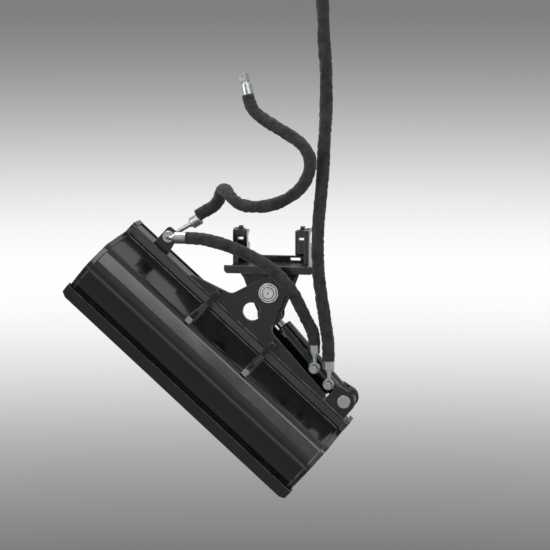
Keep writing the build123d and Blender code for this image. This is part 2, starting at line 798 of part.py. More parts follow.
def rod_eye():
    """Round eye welded to the rod."""
    eye = round_bar(cylinder_length, 0, rod_eye_radius, -rod_eye_half, rod_eye_half)
    eye = chamfer(eye.edges().filter_by(GeomType.CIRCLE), 1.5)
    return eye - round_bar(cylinder_length, 0, rod_pin_radius + 3 + running, -60, 60)


def piston():
    """Piston with a groove for its seal."""
    start = cylinder_length - piston_from_rod_pin - piston_width / 2
    at = Plane(origin=(start, 0, 0), z_dir=(1, 0, 0))
    body = extrude(at * Circle(bore_radius - running), piston_width)
    groove = Plane(origin=(start + piston_width / 2 - 3, 0, 0), z_dir=(1, 0, 0))
    return body - extrude(groove * (Circle(bore_radius + 5) - Circle(bore_radius - 4)), 6)


def piston_seal():
    """Ring in the piston's groove."""
    start = cylinder_length - piston_from_rod_pin - 2.9
    at = Plane(origin=(start, 0, 0), z_dir=(1, 0, 0))
    return extrude(at * (Circle(bore_radius - running) - Circle(bore_radius - 3.9)), 5.8)


def pin_washers():
    """Wide washers on the rod pin that cover the lug's holes."""
    ring = Pos(cylinder_length, 0) * (Circle(pin_washer_radius) - Circle(rod_pin_radius + running))
    low = lug_outer + 0.3
    return Compound(children=[
        along_y(ring, low, pin_washer_thickness),
        along_y(ring, -low - pin_washer_thickness, pin_washer_thickness),
    ])


def banjo_bolt(port):
    """Hollow bolt that holds a banjo eye on its port."""
    outer = -port_face - 2 * seal_thickness - banjo_thickness
    shank = round_bar(port.X, port.Z, neck_radius, outer, -port_face + 7)
    hexagon = Pos(port.X, port.Z) * RegularPolygon(11.0, 6)
    head = along_y(hexagon, outer - 7, 7)
    socket = round_bar(port.X, port.Z, 3.5, outer - 8, outer - 3)
    return shank + head - socket


def seals(port):
    """Two bonded washers, one on each side of a banjo eye."""
    ring = Pos(port.X, port.Z) * (Circle(11.5) - Circle(neck_radius + 0.4))
    low = -port_face - seal_thickness
    return [along_y(ring, low, seal_thickness),
            along_y(ring, low - banjo_thickness - seal_thickness, seal_thickness)]


os.makedirs("parts", exist_ok=True)

# Head
write("front_crossbar", front_crossbar())
write("rear_crossbar", rear_crossbar())
write("base_plate", base_plate())
write("upright_right", upright())
write("upright_left", mirrored(upright()))
write("hook_plate_right", hook_plate())
write("hook_plate_left", mirrored(hook_plate()))
write("claw_seat_right", claw_seat())
write("claw_seat_left", mirrored(claw_seat()))
write("claw_caps", Compound(children=[claw_cap(), mirrored(claw_cap())]))
write("cap_bolts", cap_bolts())
write("lug_front", lug_plate())
write("lug_rear", mirror(lug_plate(), about=Plane.XZ))
write("gussets", gussets())
write("pivot_tube", pivot_tube())
write("pivot_bushes", pivot_bushes())

# Bucket
write("bucket_shell", bucket_shell(), bucket_place)
write("side_plate_left", side_plate(), bucket_place)
write("side_plate_right", mirrored(side_plate()), bucket_place)
write("cutting_edge", cutting_edge(), bucket_place)
write("top_beam", top_beam(), bucket_place)
write("mouth_lip", mouth_lip(), bucket_place)
write("rib_left", rib(-1), bucket_place)
write("rib_right", rib(1), bucket_place)
write("front_pivot_plate", front_pivot_plate(), bucket_place)
write("rear_pivot_plate", rear_pivot_plate(), bucket_place)
write("pivot_pin", pivot_pin(), bucket_place)
write("pivot_nut", pivot_nut(), bucket_place)
write("bracket_ear_front", bracket_ear_front(), bucket_place)
write("bracket_ear_rear", bracket_ear(ear_inner, beam_bottom), bucket_place)
write("cylinder_base_pin", cylinder_base_pin(), bucket_place)
write("pin_lock_bolt", pin_lock_bolt(), bucket_place)
write("hose_plate", hose_plate(), bucket_place)
write("bulkhead_union", bulkhead_union(), bucket_place)

# Cylinder
write("barrel_tube", barrel_tube(), cylinder_place)
write("base_eye", base_eye(), cylinder_place)
write("base_eye_bush", bush(base_pin_radius, 3, base_eye_half), cylinder_place)
write("gland", gland(), cylinder_place)
write("wiper_seal", wiper_seal(), cylinder_place)
write("port_blocks", port_blocks(), cylinder_place)
write("transfer_pipe", transfer_pipe(), cylinder_place)
write("piston_rod", rod(), cylinder_place)
write("rod_eye", rod_eye(), cylinder_place)
write("rod_eye_bush", Pos(cylinder_length, 0, 0) * bush(rod_pin_radius, 3, rod_eye_half),
      cylinder_place)
write("piston", piston(), cylinder_place)
write("piston_seal", piston_seal(), cylinder_place)
pin_end = lug_outer + 0.3 + pin_washer_thickness
write("rod_pin", round_bar(cylinder_length, 0, rod_pin_radius, -pin_end, pin_end),
      cylinder_place)
write("pin_washers", pin_washers(), cylinder_place)

# Hose fittings, drawn upright about the pivot
level = Rot(0, tilt, 0)
base_port_at = (level * cylinder_level * Pos(base_port, 0, 0)).position
middle_port_at = (level * cylinder_level * Pos(middle_port, 0, 0)).position
union_at = (level * Pos(bulkhead_x, 0, -bulkhead_drop)).position
long_banjo, long_start = banjo(base_port_at)
cross_banjo, cross_end = banjo(middle_port_at)
write("long_hose_banjo", long_banjo)
write("cross_hose_banjo", cross_banjo)
write("banjo_bolts", Compound(children=[banjo_bolt(base_port_at), banjo_bolt(middle_port_at)]))
write("sealing_washers", Compound(children=seals(base_port_at) + seals(middle_port_at)))

front_of_union = Vector(union_at.X, hose_plate_front - 9, union_at.Z)
back_of_union = Vector(union_at.X, hose_plate_front + hose_plate_thickness + 9, union_at.Z)
cross_elbow, cross_start = hose_end(front_of_union, (0, -1, 0), (1, 0, 0), elbow_reach - 6,
                                    elbow_ferrule)
rise = radians(31)
loop_way = (cos(rise), 0, sin(rise))
loop_elbow, loop_start = hose_end(back_of_union, (0, 1, 0), loop_way, elbow_reach + 32,
                                  elbow_ferrule - 4)
write("cross_hose_elbow", cross_elbow)
write("loop_hose_elbow", loop_elbow)

# Routes of the hoses, from the bucket to the machine, as they hang in the stored stance.
# Each leaves its ferrule straight.
straight = 32.0
rising = Vector(0, 0, 1)
cross_route = [
    cross_start, cross_start + Vector(straight, 0, 0), (-134, -65, 136), (-84, -73, 121),
    (-36, -79, 101), (8, -81, 75), (43, -81, 45), (72, -78, 9), (92, -72, -32),
    (106, -60, -68), cross_end + rising * straight, cross_end,
]
loop_route = [
    loop_start, loop_start + Vector(*loop_way) * straight, (-149, 27, 233), (-139, 16, 262),
    (-124, -10, 276), (-107, -40, 262), (-84, -60, 242), (-48, -70, 232), (-4, -76, 234),
    (42, -82, 248), (85, -86, 275), (114, -88, 313), (121, -87, 358), (104, -83, 394),
    (70, -77, 420), (28, -71, 444), (-12, -63, 465), (-45, -53, 490), (-54, -46, 525),
]
long_route = [
    long_start, long_start + rising * straight, (158, -52, -92), (150, -60, -36),
    (142, -66, 26), (136, -68, 92), (135, -66, 160), (140, -62, 230), (147, -58, 304),
    (150, -56, 380), (154, -56, 460), (157, -56, 545), (153, -56, 632), (147, -56, 716),
    (144, -56, 800),
]
write("cross_hose", hose("cross_hose", cross_route))
write("loop_hose", hose("loop_hose", loop_route))
write("long_hose", hose("long_hose", long_route))
for name, route in (("loop_hose_end", loop_route), ("long_hose_end", long_route)):
    write(name, machine_end(Vector(*route[-1]), unit(route[-2], route[-1])))
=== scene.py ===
import math

import bpy
from mathutils import Matrix, Vector, noise


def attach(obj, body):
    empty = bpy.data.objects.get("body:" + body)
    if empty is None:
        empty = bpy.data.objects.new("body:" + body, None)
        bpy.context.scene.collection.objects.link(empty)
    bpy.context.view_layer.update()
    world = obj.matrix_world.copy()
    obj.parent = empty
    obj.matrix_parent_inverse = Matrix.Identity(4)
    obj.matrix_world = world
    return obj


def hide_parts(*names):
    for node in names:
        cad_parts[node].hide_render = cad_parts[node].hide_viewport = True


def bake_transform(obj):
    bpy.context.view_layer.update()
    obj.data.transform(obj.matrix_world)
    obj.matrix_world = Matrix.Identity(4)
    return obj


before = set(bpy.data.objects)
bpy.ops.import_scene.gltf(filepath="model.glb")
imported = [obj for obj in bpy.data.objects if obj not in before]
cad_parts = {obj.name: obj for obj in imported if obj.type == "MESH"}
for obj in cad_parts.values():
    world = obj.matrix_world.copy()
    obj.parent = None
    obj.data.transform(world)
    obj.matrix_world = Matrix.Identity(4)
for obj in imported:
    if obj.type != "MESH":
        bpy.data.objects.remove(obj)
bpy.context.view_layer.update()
pivot_level = -0.141

# Coupler head: thick flame-cut steel plates, welded into a frame that hangs on the machine's
# coupler. Sprayed with one coat of satin black enamel, dusty where it faces up, with its edges
# painted grey: partly paint scuffed through, partly a painted highlight along them.


def linear(code):
    """An sRGB hex value as the linear colour that a shader takes."""
    parts = [int(code[i:i + 2], 16) / 255 for i in (1, 3, 5)]
    return [*(c / 12.92 if c <= 0.04045 else ((c + 0.055) / 1.055) ** 2.4 for c in parts), 1.0]


def add_node(material, kind, inputs=None, **settings):
    """A shader node with its settings; each input is a value, or an output to link from."""
    made = material.node_tree.nodes.new(kind)
    for name, value in settings.items():
        setattr(made, name, value)
    for key, value in (inputs or {}).items():
        if isinstance(value, bpy.types.NodeSocket):
            material.node_tree.links.new(value, made.inputs[key])
        else:
            made.inputs[key].default_value = value
    return made


def new_material(name):
    """An empty node material and its output node."""
    material = bpy.data.materials.new(name)
    material.use_nodes = True
    material.node_tree.nodes.clear()
    return material, add_node(material, "ShaderNodeOutputMaterial")


def per_metre(millimetres):
    """Texture scale at which one feature of the pattern is that many millimetres across."""
    return 1000.0 / millimetres


def enamel(name, base, dust, roughness, coat, rubbed_and_highlight, peel=3.0, dust_amount=0.5, waves=0.0006):
    """Sprayed enamel on steel plate: slow waves of the plate, orange peel, dust and edges
    painted pale, partly as scuffed-through paint and partly as a painted highlight."""
    material, output = new_material(name)
    place = add_node(material, "ShaderNodeTexCoord").outputs["Object"]
    mottle = add_node(material, "ShaderNodeTexNoise", {
        "Vector": place, "Scale": per_metre(38), "Detail": 5.0, "Roughness": 0.62})
    speck = add_node(material, "ShaderNodeTexNoise", {
        "Vector": place, "Scale": per_metre(2.2), "Detail": 3.0, "Roughness": 0.7})
    settled = add_node(material, "ShaderNodeMath", {
        0: mottle.outputs["Fac"], 1: speck.outputs["Fac"]}, operation="MULTIPLY")
    dusting = add_node(material, "ShaderNodeMapRange", {
        "Value": settled.outputs[0], "From Min": 0.22, "From Max": 0.46,
        "To Min": 0.0, "To Max": dust_amount})
    coloured = add_node(material, "ShaderNodeMix", {
        "Factor": dusting.outputs[0], 6: linear(base), 7: linear(dust)}, data_type="RGBA")
    # Edges, painted pale where the rounded normal leaves the face's own and broken up by the specks:
    # partly scuffed-through paint, partly a painted highlight along the edge.
    face = add_node(material, "ShaderNodeNewGeometry").outputs["Normal"]
    rounded = add_node(material, "ShaderNodeBevel", {"Radius": 0.0026}, samples=4)
    turned = add_node(material, "ShaderNodeVectorMath", {
        0: rounded.outputs[0], 1: face}, operation="DOT_PRODUCT")
    edge = add_node(material, "ShaderNodeMapRange", {
        "Value": turned.outputs["Value"], "From Min": 0.992, "From Max": 0.9})
    broken = add_node(material, "ShaderNodeMapRange", {
        "Value": mottle.outputs["Fac"], "From Min": 0.34, "From Max": 0.58})
    worn_and_highlight = add_node(material, "ShaderNodeMath", {
        0: edge.outputs[0], 1: broken.outputs[0]}, operation="MULTIPLY")
    with_edges = add_node(material, "ShaderNodeMix", {
        "Factor": worn_and_highlight.outputs[0], 6: coloured.outputs[2], 7: linear(rubbed_and_highlight)}, data_type="RGBA")
    shine = add_node(material, "ShaderNodeMapRange", {
        "Value": settled.outputs[0], "From Min": 0.15, "From Max": 0.45,
        "To Min": roughness * 0.8, "To Max": roughness * 1.35})
    skin = add_node(material, "ShaderNodeTexNoise", {
        "Vector": place, "Scale": per_metre(peel), "Detail": 2.0})
    swell = add_node(material, "ShaderNodeTexNoise", {
        "Vector": place, "Scale": per_metre(150), "Detail": 1.5, "Distortion": 0.4})
    buckled = add_node(material, "ShaderNodeBump", {
        "Height": swell.outputs["Fac"], "Distance": waves, "Normal": rounded.outputs[0]})
    peeled = add_node(material, "ShaderNodeBump", {
        "Height": skin.outputs["Fac"], "Strength": 0.12, "Distance": 0.0004,
        "Normal": buckled.outputs[0]})
    shader = add_node(material, "ShaderNodeBsdfPrincipled", {
        "Base Color": with_edges.outputs[2], "Roughness": shine.outputs[0],
        "Normal": peeled.outputs[0], "IOR": 1.5, "Coat Weight": coat, "Coat Roughness": 0.1})
    add_link = material.node_tree.links.new
    add_link(shader.outputs[0], output.inputs["Surface"])
    return material


def finish_nodes(material, *names):
    """Give CAD nodes a finish; their shape stays as packed."""
    for name in names:
        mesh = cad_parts[name].data
        mesh.materials.clear()
        mesh.materials.append(material)


head_enamel = enamel("satin_enamel_head", "#141515", "#4a4b47", 0.36, 0.4, "#a0a2a2", dust_amount=0.4)
finish_nodes(head_enamel, "front_crossbar", "rear_crossbar", "base_plate", "upright_left",
             "upright_right", "cap_bolts")
# The claws take a darker copy of the head's enamel, as painted shade on the hook plates, seats and
# caps.
claw_enamel_painted_dark = enamel("satin_enamel_claws_painted_shade", "#070707", "#1d1e1b", 0.3, 0.5, "#77797a", dust_amount=0.3)
finish_nodes(claw_enamel_painted_dark, "hook_plate_left", "hook_plate_right", "claw_seat_left",
             "claw_seat_right", "claw_caps")

# Tilting lug: two plates and a cross tube under the head, enamelled black, with a film of
# greenish dust that sticks to the grease round the pivot.
lug_enamel = enamel("satin_enamel_lug", "#131410", "#3f4034", 0.4, 0.2, "#8b8c80")
finish_nodes(lug_enamel, "lug_front", "lug_rear", "gussets", "pivot_tube")

# Pivot and eye bushes: turned bearing bronze, pressed in.
bronze, bronze_output = new_material("turned_bearing_bronze")
bronze_place = add_node(bronze, "ShaderNodeTexCoord").outputs["Object"]
tool_marks = add_node(bronze, "ShaderNodeTexNoise", {
    "Vector": bronze_place, "Scale": per_metre(1.5), "Detail": 4.0})
bronze_tone = add_node(bronze, "ShaderNodeMix", {
    "Factor": tool_marks.outputs["Fac"], 6: linear("#8a6238"), 7: linear("#b98b55")},
    data_type="RGBA")
bronze_shader = add_node(bronze, "ShaderNodeBsdfPrincipled", {
    "Base Color": bronze_tone.outputs[2], "Metallic": 1.0, "Roughness": 0.34})
bronze.node_tree.links.new(bronze_shader.outputs[0], bronze_output.inputs["Surface"])
finish_nodes(bronze, "pivot_bushes", "base_eye_bush", "rod_eye_bush")

# Bucket body: rolled plate, hollow beam and side plates, welded and sprayed with gloss black
# enamel, so that the plate's slight waves show in its reflections.
shell_enamel = enamel("gloss_enamel_bucket", "#070708", "#2c2d2e", 0.22, 0.9, "#8c8f91",
                      peel=5.0, dust_amount=0.16, waves=0.0035)
finish_nodes(shell_enamel, "bucket_shell", "side_plate_left", "side_plate_right", "top_beam",
             "mouth_lip", "rib_left", "rib_right", "cutting_edge")

# Pivot plates and cylinder bracket: flame-cut plate in satin black with olive dust.
plate_enamel = enamel("satin_enamel_pivot_plates", "#161711", "#4a4b3b", 0.4, 0.25, "#a9aa9d")
finish_nodes(plate_enamel, "front_pivot_plate", "rear_pivot_plate", "bracket_ear_front",
             "bracket_ear_rear", "hose_plate", "pin_lock_bolt", "rod_pin", "pin_washers")

# Rear pivot plate's wing: cut from the same 12 mm plate, it stands on the strip behind the beam
# and runs to the cylinder bracket. It is seen as the dark band between front wing and barrel.
level_to_stance = Matrix.Translation(Vector((0, -0.035, pivot_level))) @ Matrix.Rotation(
    math.radians(42), 4, "Y")
wing_start, wing_end = 0.058, 0.299
wing_foot, wing_shoulder, wing_nose = -0.111, -0.072, -0.097
wing_plate = 0.012
wing_middle_y = 0.035
bpy.ops.object.select_all(action="DESELECT")
bpy.ops.mesh.primitive_cube_add(size=1)
rear_wing = bpy.context.active_object
rear_wing.name = "rear_pivot_wing"
rear_wing.scale = (wing_end - wing_start, wing_plate, wing_shoulder - wing_foot)
rear_wing.location = ((wing_start + wing_end) / 2, wing_middle_y, (wing_shoulder + wing_foot) / 2)
bpy.ops.object.transform_apply(location=True, scale=True)
bpy.ops.object.mode_set(mode="EDIT")
bpy.ops.mesh.select_all(action="SELECT")
bpy.ops.mesh.bisect(plane_co=(wing_end, 0, wing_nose),
                    plane_no=(wing_shoulder - wing_nose, 0, wing_end - 0.072),
                    use_fill=True, clear_outer=True)
bpy.ops.mesh.select_all(action="SELECT")
bpy.ops.mesh.bevel(offset=0.0012, segments=2)
bpy.ops.mesh.normals_make_consistent(inside=False)
bpy.ops.object.mode_set(mode="OBJECT")
rear_wing.matrix_world = level_to_stance
bpy.ops.object.transform_apply(location=True, rotation=True)
rear_wing.data.materials.append(plate_enamel)
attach(rear_wing, "bucket")

# Weld beads: fillet welds laid by hand along the seams of the bucket, each a row of ripples,
# painted over with the bucket.


def weld_bead(start, end, radius):
    """Overlapping ripples from one point of the level bucket to another."""
    run = Vector(end) - Vector(start)
    pitch = radius * 0.9
    bpy.ops.object.select_all(action="DESELECT")
    bpy.ops.mesh.primitive_ico_sphere_add(subdivisions=2, radius=radius)
    bead = bpy.context.active_object
    ripples = bead.modifiers.new("ripples", "ARRAY")
    ripples.use_relative_offset = False
    ripples.use_constant_offset = True
    ripples.constant_offset_displace = (pitch, 0, 0)
    ripples.count = int(run.length / pitch)
    bpy.ops.object.modifier_apply(modifier="ripples")
    bead.matrix_world = Matrix.Translation(start) @ run.to_track_quat("X", "Z").to_matrix().to_4x4()
    bpy.ops.object.transform_apply(location=True, rotation=True)
    return bead


beam_front, beam_top, beam_bottom = -0.0415, -0.114, -0.144
rib_middle, rib_half = 0.101, 0.008
shell_end = 0.383
back_corners = ((beam_front, beam_bottom), (-0.1848, -0.1719), (-0.2218, -0.2348),
                (-0.2047, -0.2829), (-0.1699, -0.3447))
seams = [((low, beam_front, beam_top), (high, beam_front, beam_top)) for low, high in (
    (-0.186, -rib_middle - rib_half), (rib_half - rib_middle, rib_middle - rib_half),
    (rib_middle + rib_half, 0.298), (0.304, 0.374))]
seams += [((low, beam_front - 0.001, beam_bottom), (high, beam_front - 0.001, beam_bottom))
          for low, high in ((-shell_end, -rib_middle - rib_half),
                            (rib_half - rib_middle, rib_middle - rib_half),
                            (rib_middle + rib_half, shell_end))]
seams += [((side * rib_middle + edge * rib_half, *back_corners[0]),
           (side * rib_middle + edge * rib_half, -0.178, -0.1706))
          for side in (-1, 1) for edge in (-1, 1)]
for before, after in zip(back_corners, back_corners[1:]):
    reach = Vector(after) - Vector(before)
    first, last = Vector(before) + reach * 0.12, Vector(before) + reach * 0.88
    seams += [((side * shell_end, *first), (side * shell_end, *last)) for side in (-1, 1)]
beads = [weld_bead(start, end, 0.0028) for start, end in seams]
bpy.ops.object.select_all(action="DESELECT")
for bead in beads:
    bead.select_set(True)
bpy.context.view_layer.objects.active = beads[0]
bpy.ops.object.join()
welds = bpy.context.active_object
welds.name = "weld_beads"
welds.matrix_world = level_to_stance
bpy.ops.object.transform_apply(location=True, rotation=True)
bpy.ops.object.shade_smooth()
welds.data.materials.append(shell_enamel)
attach(welds, "bucket")

# Pins, nuts and hose fittings: turned steel with bright zinc plate, a little cloudy.


def bright_zinc(name, tone, roughness, step_shade_axis=None):
    """Zinc plate over turned steel, with cloudy patches in its shine. Given a point on a stepped
    head's axis, it paints dark rings of shade round that axis in the corners of the steps."""
    material, output = new_material(name)
    place = add_node(material, "ShaderNodeTexCoord").outputs["Object"]
    cloud = add_node(material, "ShaderNodeTexNoise", {
        "Vector": place, "Scale": per_metre(9), "Detail": 4.0})
    shade = add_node(material, "ShaderNodeMix", {
        "Factor": cloud.outputs["Fac"], 6: linear(tone), 7: linear("#dfe2e2")},
        data_type="RGBA")
    colour = shade.outputs[2]
    if step_shade_axis:
        # Painted shade: dark rings in the corners of the head's steps, round the given axis.
        from_axis = add_node(material, "ShaderNodeVectorMath", {
            0: place, 1: step_shade_axis}, operation="SUBTRACT")
        flattened = add_node(material, "ShaderNodeVectorMath", {
            0: from_axis.outputs[0], 1: (1, 0, 1)}, operation="MULTIPLY")
        radius = add_node(material, "ShaderNodeVectorMath", {
            0: flattened.outputs[0]}, operation="LENGTH")
        share = add_node(material, "ShaderNodeMapRange", {
            "Value": radius.outputs["Value"], "From Max": 0.03})
        step_shade = add_node(material, "ShaderNodeValToRGB", {0: share.outputs[0]})
        stops = ((0.485, 0.0), (0.53, 1.0), (0.58, 0.0), (0.71, 0.0), (0.755, 0.9), (0.8, 0.0))
        while len(step_shade.color_ramp.elements) < len(stops):
            step_shade.color_ramp.elements.new(0.5)
        for stop, (position, amount) in zip(step_shade.color_ramp.elements, stops):
            stop.position = position
            stop.color = (amount, amount, amount, 1)
        colour = add_node(material, "ShaderNodeMix", {
            "Factor": step_shade.outputs["Color"], 6: colour, 7: linear("#1c1c17")},
            data_type="RGBA").outputs[2]
    shine = add_node(material, "ShaderNodeMapRange", {
        "Value": cloud.outputs["Fac"], "From Min": 0.3, "From Max": 0.7,
        "To Min": roughness * 0.75, "To Max": roughness * 1.3})
    rounded = add_node(material, "ShaderNodeBevel", {"Radius": 0.0008}, samples=4)
    shader = add_node(material, "ShaderNodeBsdfPrincipled", {
        "Base Color": colour, "Metallic": 1.0, "Roughness": shine.outputs[0],
        "Normal": rounded.outputs[0]})
    material.node_tree.links.new(shader.outputs[0], output.inputs["Surface"])
    return material


zinc = bright_zinc("bright_zinc_plate", "#aeb3b5", 0.34)
finish_nodes(zinc, "pivot_nut", "cylinder_base_pin", "bulkhead_union", "cross_hose_elbow",
             "loop_hose_elbow", "long_hose_banjo", "cross_hose_banjo", "banjo_bolts",
             "loop_hose_end", "long_hose_end")
# The pin head takes a paler copy of the fittings' zinc: a painted highlight on its face.
pin_zinc_painted_light = bright_zinc("bright_zinc_pin_head_painted_light", "#eef1f1", 0.26, step_shade_axis=(0, 0, pivot_level))
finish_nodes(pin_zinc_painted_light, "pivot_pin")

# Tilt cylinder: drawn tube with a welded eye, ports and a steel transfer pipe, sprayed gloss
# black. It mirrors the sky along its length.
cylinder_enamel = enamel("gloss_enamel_cylinder", "#06080c", "#262a30", 0.18, 1.0, "#70757a",
                         peel=4.0, dust_amount=0.12)
finish_nodes(cylinder_enamel, "barrel_tube", "gland", "port_blocks", "transfer_pipe")
finish_nodes(lug_enamel, "base_eye", "rod_eye")

# Rod: ground steel with hard chrome.
chrome, chrome_output = new_material("hard_chrome")
chrome_place = add_node(chrome, "ShaderNodeTexCoord").outputs["Object"]
grinding = add_node(chrome, "ShaderNodeTexNoise", {
    "Vector": chrome_place, "Scale": per_metre(3), "Detail": 3.0})
chrome_shine = add_node(chrome, "ShaderNodeMapRange", {
    "Value": grinding.outputs["Fac"], "To Min": 0.06, "To Max": 0.14})
chrome_shader = add_node(chrome, "ShaderNodeBsdfPrincipled", {
    "Base Color": linear("#c9ccd0"), "Metallic": 1.0, "Roughness": chrome_shine.outputs[0]})
chrome.node_tree.links.new(chrome_shader.outputs[0], chrome_output.inputs["Surface"])
finish_nodes(chrome, "piston_rod")

# Piston, its seal, the wiper and the bonded washers, which show only when it is taken apart.
iron, iron_output = new_material("turned_iron")
iron_place = add_node(iron, "ShaderNodeTexCoord").outputs["Object"]
iron_grain = add_node(iron, "ShaderNodeTexNoise", {"Vector": iron_place, "Scale": per_metre(2)})
iron_tone = add_node(iron, "ShaderNodeMix", {
    "Factor": iron_grain.outputs["Fac"], 6: linear("#56585a"), 7: linear("#85878a")},
    data_type="RGBA")
iron_shader = add_node(iron, "ShaderNodeBsdfPrincipled", {
    "Base Color": iron_tone.outputs[2], "Metallic": 1.0, "Roughness": 0.42})
iron.node_tree.links.new(iron_shader.outputs[0], iron_output.inputs["Surface"])
finish_nodes(iron, "piston")

rubber, rubber_output = new_material("moulded_rubber")
rubber_place = add_node(rubber, "ShaderNodeTexCoord").outputs["Object"]
bloom = add_node(rubber, "ShaderNodeTexNoise", {"Vector": rubber_place, "Scale": per_metre(4)})
rubber_tone = add_node(rubber, "ShaderNodeMix", {
    "Factor": bloom.outputs["Fac"], 6: linear("#121212"), 7: linear("#262625")},
    data_type="RGBA")
rubber_shader = add_node(rubber, "ShaderNodeBsdfPrincipled", {
    "Base Color": rubber_tone.outputs[2], "Roughness": 0.62})
rubber.node_tree.links.new(rubber_shader.outputs[0], rubber_output.inputs["Surface"])
finish_nodes(rubber, "piston_seal", "wiper_seal", "sealing_washers")

# Hydraulic hoses: rubber hose inside a loose sleeve of black woven nylon, gathered at each
# ferrule. The sleeve creases across where the hose bends and lies smooth where it is straight.
sleeve_radius = 0.0165
ring_step = 0.0035
ring_sides = 40


def woven_nylon():
    """Plain weave of matt nylon yarn, lighter and darker in random patches."""
    material, output = new_material("woven_nylon_sleeve")
    around = add_node(material, "ShaderNodeUVMap", uv_map="sleeve").outputs[0]
    place = add_node(material, "ShaderNodeTexCoord").outputs["Object"]
    # Yarns are under 1 mm apart, so they are drawn at 2.5 mm to show at all.
    warp = add_node(material, "ShaderNodeTexWave", {
        "Vector": around, "Scale": per_metre(2.5) / 20 * 6.283 / 2, "Distortion": 0.6},
        bands_direction="X")
    weft = add_node(material, "ShaderNodeTexWave", {
        "Vector": around, "Scale": per_metre(2.5) / 20 * 6.283 / 2, "Distortion": 0.6},
        bands_direction="Y")
    weave = add_node(material, "ShaderNodeMath", {
        0: warp.outputs["Fac"], 1: weft.outputs["Fac"]}, operation="MULTIPLY")
    patch = add_node(material, "ShaderNodeTexNoise", {
        "Vector": place, "Scale": per_metre(24), "Detail": 4.0, "Roughness": 0.6})
    fuzz = add_node(material, "ShaderNodeTexNoise", {
        "Vector": place, "Scale": per_metre(1.6), "Detail": 3.0})
    mixed = add_node(material, "ShaderNodeMath", {
        0: patch.outputs["Fac"], 1: fuzz.outputs["Fac"]}, operation="MULTIPLY")
    shade = add_node(material, "ShaderNodeMapRange", {
        "Value": mixed.outputs[0], "From Min": 0.15, "From Max": 0.4})
    tone = add_node(material, "ShaderNodeMix", {
        "Factor": shade.outputs[0], 6: linear("#161717"), 7: linear("#414241")},
        data_type="RGBA")
    height = add_node(material, "ShaderNodeMath", {
        0: weave.outputs[0], 1: fuzz.outputs["Fac"]}, operation="ADD")
    bump = add_node(material, "ShaderNodeBump", {
        "Height": height.outputs[0], "Strength": 0.35, "Distance": 0.0005})
    shader = add_node(material, "ShaderNodeBsdfPrincipled", {
        "Base Color": tone.outputs[2], "Roughness": 0.88, "Normal": bump.outputs[0],
        "Sheen Weight": 0.25, "Sheen Roughness": 0.5})
    material.node_tree.links.new(shader.outputs[0], output.inputs["Surface"])
    return material


def hose_line(name, route):
    """Points along the smooth spline that has the route's points as its control points."""
    curve = bpy.data.curves.new(name, "CURVE")
    curve.dimensions = "3D"
    curve.resolution_u = 24
    spline = curve.splines.new("NURBS")
    spline.points.add(len(route) - 1)
    for point, place in zip(spline.points, route):
        point.co = (*place, 1.0)
    spline.order_u = 3
    spline.use_endpoint_u = True
    line = bpy.data.objects.new(name, curve)
    bpy.context.scene.collection.objects.link(line)
    mesh = bpy.data.meshes.new_from_object(line)
    points = [v.co.copy() for v in mesh.vertices]
    bpy.data.objects.remove(line)
    bpy.data.meshes.remove(mesh)
    return points


def even_points(points, step):
    """The same line, with a point every step."""
    travelled = [0.0]
    for before, after in zip(points, points[1:]):
        travelled.append(travelled[-1] + (after - before).length)
    count = max(2, round(travelled[-1] / step))
    spaced, index = [], 0
    for k in range(count + 1):
        want = travelled[-1] * k / count
        while index < len(points) - 2 and travelled[index + 1] < want:
            index += 1
        share = (want - travelled[index]) / max(1e-9, travelled[index + 1] - travelled[index])
        spaced.append(points[index].lerp(points[index + 1], min(1.0, share)))
    return spaced, travelled[-1]


def turn_wave(turn):
    """How far a fold has crept along the hose at one side of it, so that folds lie askew."""
    return math.sin(turn) + 0.4 * math.sin(2 * turn + 1)


